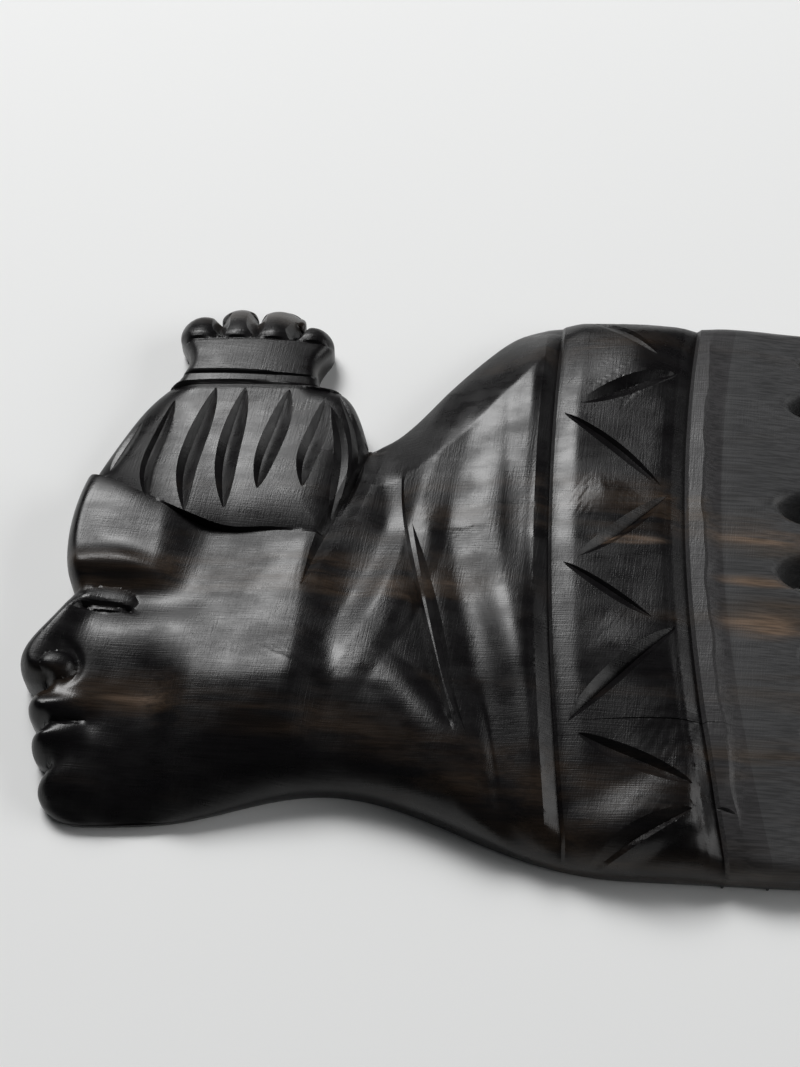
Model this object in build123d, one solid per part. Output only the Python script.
from build123d import *
import math
import os

# A flat carved ebony hair comb. It lies on its flat back: X runs from the carved head to the
# tooth tips, Y across the comb towards the topknot, Z up out of the carved face. Millimetres.
# While it is drawn, X = 0 is just in front of the forehead and Y = 0 is the middle of the comb's
# plate. At the end everything moves so that the origin is the middle of the bounding box's base.

# ---- driving dimensions ----
HALF_WIDTH = 35.2  # half the width of the comb's plate
CROWN = 8.0  # thickness on the middle line of the carved part
EDGE_DROP = 3.4  # how much thinner the comb is at its two long edges
PLATE_CROWN = 5.6  # thickness of the sunken plate that the teeth grow from
PLATE_DROP = 2.2  # the plate is cut flatter than the rest
KNOT_CROWN = 7.6  # crown that the topknot's curls are carved under
BAND_CROWN = 7.0  # crown that the tie under the curls is carved under

# Carved lines that cross the comb are arcs: (X on the middle line, how far the ends lag behind).
SHOULDER_LINE = (57.6, 2.0)
ZIGZAG_LINE = (72.8, 3.4)
PLATE_LINE = (76.9, 3.9)
TOOTH_LINE = (90.0, 3.0)

GROOVE_WIDTH = 1.5  # flat strip cut beside each of the two crossing grooves
GROOVE_DEPTH = 0.9
GOUGE_RATIO = 0.42  # depth of a leaf-shaped gouge over its width
GOUGE_LIFT = 0.15  # how far a gouge's cutting wedge starts above the crown
ZIGZAG_WIDTH = 1.9

# The gaps between the teeth are cut by eye, from the topknot's side: (Y of the gap, X of its point).
GAPS = (
    (29.6, 88.4), (22.6, 86.4), (15.6, 87.8), (7.8, 84.3),
    (-0.8, 83.8), (-11.0, 85.9), (-20.0, 85.6), (-28.0, 85.8),
)
GAP_WIDTH = 2.9
GAP_POINT = 2.2  # length of the pointed start of each gap
TIP_X = 178.0
TIP_Z = 3.2  # thickness of a tooth where its tip starts to round off
TIP_HALF = 1.4  # half a tooth's width there
TIP_LENGTH = 1.6
TIP_SPREAD = 0.88  # the row of tips is this much narrower than the row of roots
TOOTH_CHAMFER = 0.8  # broken upper edges of a tooth

TALL = 20.0  # height of cutting prisms, well above the comb
DOME_MIDDLE = 90.0
DOME_LENGTH = 240.0


def arc_radius(rise):
    """Radius of an arc over the comb's width with this rise."""
    return (HALF_WIDTH**2 + rise**2) / (2 * rise)


def dome(crown, drop=EDGE_DROP):
    """Everything under a long cylindrical crown that is lower at the comb's edges."""
    radius = arc_radius(drop)
    return Pos(DOME_MIDDLE, 0, crown - radius) * Rot(0, 90, 0) * Cylinder(radius, DOME_LENGTH)


def surface_z(y, crown=CROWN, drop=EDGE_DROP):
    """Height of a crown at a distance from the middle line."""
    radius = arc_radius(drop)
    return crown - radius + math.sqrt(radius**2 - y**2)


def beyond(line):
    """Tall prism of everything on the tooth side of a crossing line."""
    x_middle, lag = line
    radius = arc_radius(lag)
    return Pos(x_middle + radius, 0, 0) * Cylinder(radius, TALL * 2)


def shifted(line, distance):
    """The same crossing line, further towards the teeth."""
    return (line[0] + distance, line[1])


def prism(*edges):
    """Tall prism over a closed outline."""
    outline = make_face(Wire(edges))
    return extrude(Pos(0, 0, -TALL / 2) * outline, TALL * 2, dir=(0, 0, 1))


def lowered(part, zone, crown, drop=EDGE_DROP):
    """Cuts the zone of a part down to a lower crown."""
    return part - (zone - dome(crown, drop))


def gouge(start, end, width):
    """Flat-faced wedge that cuts one leaf-shaped V gouge between two places on the crown."""
    lift = Vector(0, 0, GOUGE_LIFT)
    first = Vector(*start, surface_z(start[1])) + lift
    last = Vector(*end, surface_z(end[1])) + lift
    middle = (first + last) * 0.5
    side = (last - first).cross(Vector(0, 0, 1)).normalized() * (width / 2 + GOUGE_LIFT)
    left, right = middle + side, middle - side
    keel = middle - Vector(0, 0, GOUGE_RATIO * width + GOUGE_LIFT)
    corners = (
        (first, right, left), (last, left, right),
        (first, left, keel), (first, keel, right), (last, keel, left), (last, right, keel),
    )
    return Solid(Shell([Face(Wire.make_polygon(three, close=True)) for three in corners]))


def silhouette():
    """Outline of the carved part, from the topknot round by the face, neck and plate."""
    knot = [
        Spline((13.3, 23.3), (14.3, 25.8), (12.7, 30.2)),
        ThreePointArc((12.7, 30.2), (14.1, 33.7), (17.4, 33.6)),
        ThreePointArc((17.4, 33.6), (19.5, 36.8), (21.8, 34.4)),
        ThreePointArc((21.8, 34.4), (24.9, 37.0), (27.2, 32.2)),
        ThreePointArc((27.2, 32.2), (29.7, 32.8), (31.3, 29.2)),
        Spline((31.3, 29.2), (30.0, 26.0), (30.6, 23.2)),
    ]
    nape = Spline((30.6, 23.2), (33.0, 22.5), (35.6, 18.9), (36.7, 15.6))
    shoulder = Spline(
        (36.7, 15.6), (41.4, 18.9), (45.9, 24.2), (50.6, 29.8), (55.2, 33.8), (62.0, 35.2),
        tangents=[(1.0, 0.35), (1, 0)],
    )
    far_edge = Line((62.0, 35.2), (84.0, 35.2))
    far_taper = Line((84.0, 35.2), (100.0, 34.5))
    end = Line((100.0, 34.5), (100.0, -34.5))
    near_taper = Line((100.0, -34.5), (84.0, -35.2))
    near_edge = Line((84.0, -35.2), (67.0, -35.2))
    throat = Spline(
        (67.0, -35.2), (59.5, -34.5), (51.2, -32.0), (42.7, -28.8), (35.0, -27.6),
        (28.0, -28.8), (20.0, -31.2), (11.0, -32.2),
        tangents=[(-1, 0), (-1, -0.05)],
    )
    chin = Spline((11.0, -32.2), (6.3, -31.4), (4.6, -29.0), (5.6, -26.6))
    mouth = [
        ThreePointArc((5.6, -26.6), (3.5, -24.8), (4.4, -22.7)),
        ThreePointArc((4.4, -22.7), (2.7, -21.2), (4.3, -18.3)),
    ]
    nose = Spline((4.3, -18.3), (1.7, -17.3), (0.9, -15.6), (3.2, -10.6), (5.5, -6.6))
    forehead = Spline((5.5, -6.6), (4.2, -3.6), (3.6, 1.0), (5.1, 10.6))
    temple = Spline((5.1, 10.6), (7.8, 16.4), (10.6, 20.8), (13.3, 23.3))
    return [
        *knot, nape, shoulder, far_edge, far_taper, end, near_taper, near_edge, throat, chin,
        *mouth, nose, forehead, temple,
    ]


def knot_zone(line_y):
    """Everything above a line across the topknot."""
    zone = Polyline((0, line_y - 0.5), (40, line_y + 0.5), (40, 50), (0, 50), close=True)
    return prism(*zone.edges())


def hair_zone():
    """Everything on the hair's side of the hairline and of the deep cut behind the face."""
    hairline = Spline((0, 11.6), (7.5, 9.5), (15.2, 5.4), (23.0, 3.5), (32.2, 4.0))
    cut = Spline((32.2, 4.0), (34.6, 9.2), (37.2, 16.6))
    rest = Polyline((37.2, 16.6), (37.2, 50), (0, 50), (0, 11.6))
    return prism(hairline, cut, *rest.edges())


def face_zone():
    """Everything in front of the line from the hair down the back of the jaw."""
    jaw = Spline((32.2, 4.0), (30.2, -3.6), (29.8, -16.0), (31.6, -34.0))
    rest = Polyline((31.6, -34.0), (31.6, -50), (-10, -50), (-10, 50), (32.2, 50), (32.2, 4.0))
    return prism(jaw, *rest.edges())


def drape_zone():
    """Everything behind the fold where the wrap crosses the shoulder."""
    fold = Spline(
        (43.4, 24.0), (41.5, 11.0), (43.3, 0.6), (45.8, -11.9), (49.2, -20.6), (55.6, -36.0)
    )
    rest = Polyline((55.6, -36.0), (55.6, -50), (120, -50), (120, 50), (43.4, 50), (43.4, 24.0))
    return prism(fold, *rest.edges())


def gap_notch(y, root):
    """Pointed start of one gap between two teeth."""
    half = GAP_WIDTH / 2
    shape = Polyline(
        (root, y), (root + GAP_POINT, y + half), (100, y + half), (100, y - half),
        (root + GAP_POINT, y - half), close=True,
    )
    return prism(*shape.edges())


def tooth_section(x, y_low, y_high, top):
    """Section across a tooth, with its two upper edges broken."""
    cut = TOOTH_CHAMFER
    corners = [
        (x, y_low, 0), (x, y_high, 0), (x, y_high, top - cut), (x, y_high - cut, top),
        (x, y_low + cut, top), (x, y_low, top - cut),
    ]
    return make_face(Polyline(*corners, close=True))


def tooth(y_low, y_high):
    """One tapered tooth between two gaps, rounded off at its tip."""
    middle = (y_low + y_high) / 2
    tip_y = middle * TIP_SPREAD
    root_z = surface_z(middle, PLATE_CROWN, PLATE_DROP)
    stations = [
        (TOOTH_LINE[0] - 4, y_low, y_high, root_z),
        (TOOTH_LINE[0] + 6, y_low, y_high, root_z),
        (TIP_X - TIP_LENGTH, tip_y - TIP_HALF, tip_y + TIP_HALF, TIP_Z),
        (TIP_X, tip_y - TIP_HALF / 2 - 0.3, tip_y + TIP_HALF / 2 + 0.3, TIP_Z - TIP_HALF / 2),
    ]
    return loft([tooth_section(*station) for station in stations], ruled=True) & beyond(TOOTH_LINE)


# ---- the carved part, cut into its carved fields ----
blank = prism(*silhouette()) & dome(CROWN)
blank = blank & (Pos(60, 0, TALL / 2) * Box(200, 100, TALL))

curls_zone = knot_zone(29.6)
band_zone = knot_zone(23.6)
hair = hair_zone()
front = face_zone()
drape = drape_zone()
past_shoulder = beyond(SHOULDER_LINE)
past_zigzag = beyond(ZIGZAG_LINE)
past_bead = beyond(PLATE_LINE)
past_plate = beyond(TOOTH_LINE)

figure = blank - past_shoulder
knot = figure & band_zone
head = (figure - band_zone) - drape
body = figure - band_zone

parts = {}
parts["topknot_curls"] = lowered(knot & curls_zone, curls_zone, KNOT_CROWN)
parts["topknot_band"] = lowered(knot - curls_zone, band_zone, BAND_CROWN)
parts["hair_cap"] = head & hair
parts["face"] = (head - hair) & front
parts["neck"] = (head - hair) - front
parts["shoulder_drape"] = body & drape
parts["zigzag_band"] = (blank & past_shoulder) - past_zigzag
parts["border_bead"] = (blank & past_zigzag) - past_bead
parts["comb_plate"] = lowered((blank & past_bead) - past_plate, past_bead, PLATE_CROWN, PLATE_DROP)

# ---- carving ----
for line, name in ((SHOULDER_LINE, "shoulder_drape"), (ZIGZAG_LINE, "zigzag_band")):
    strip = beyond(shifted(line, -GROOVE_WIDTH)) - beyond(line)
    parts[name] = lowered(parts[name], strip, CROWN - GROOVE_DEPTH)

for start, end, width in (
    ((11.4, 19.6), (11.0, 8.2), 1.8),
    ((16.7, 22.6), (16.0, 6.2), 2.3),
    ((20.9, 22.8), (20.5, 7.0), 2.3),
    ((26.2, 22.6), (24.4, 9.6), 2.3),
    ((30.0, 21.4), (29.6, 9.6), 2.1),
    ((33.4, 19.2), (33.6, 11.5), 1.4),
):
    parts["hair_cap"] -= gouge(start, end, width)

for start, end in (
    ((63.4, 34.0), (72.0, 29.2)),
    ((73.0, 27.2), (62.0, 23.6)),
    ((60.4, 20.6), (71.0, 11.2)),
    ((70.8, 10.0), (60.2, 1.8)),
    ((60.2, 0.8), (69.2, -5.6)),
    ((71.2, -7.6), (60.4, -18.4)),
    ((61.2, -20.6), (72.2, -25.8)),
    ((72.2, -28.6), (62.4, -34.2)),
):
    parts["zigzag_band"] -= gouge(start, end, ZIGZAG_WIDTH)

for y, root in GAPS:
    parts["comb_plate"] -= gap_notch(y, root)

# ---- teeth, numbered from the topknot's side ----
half_gap = GAP_WIDTH / 2
outer = HALF_WIDTH - 0.45
high_sides = (outer, *(y - half_gap for y, _ in GAPS))
low_sides = (*(y + half_gap for y, _ in GAPS), -outer)
for number, (y_high, y_low) in enumerate(zip(high_sides, low_sides), start=1):
    parts[f"tooth_{number}"] = tooth(y_low, y_high)

# ---- origin at the middle of the base, then one file per part ----
box = Compound(list(parts.values())).bounding_box()
to_origin = Pos(-box.center().X, -box.center().Y, -box.min.Z)
os.makedirs("parts", exist_ok=True)
for name, part in parts.items():
    placed = to_origin * part
    placed.label = name
    export_step(placed, f"parts/{name}.step")
print("size", box.size, "drawing's zero is at", -box.center().X, -box.center().Y)
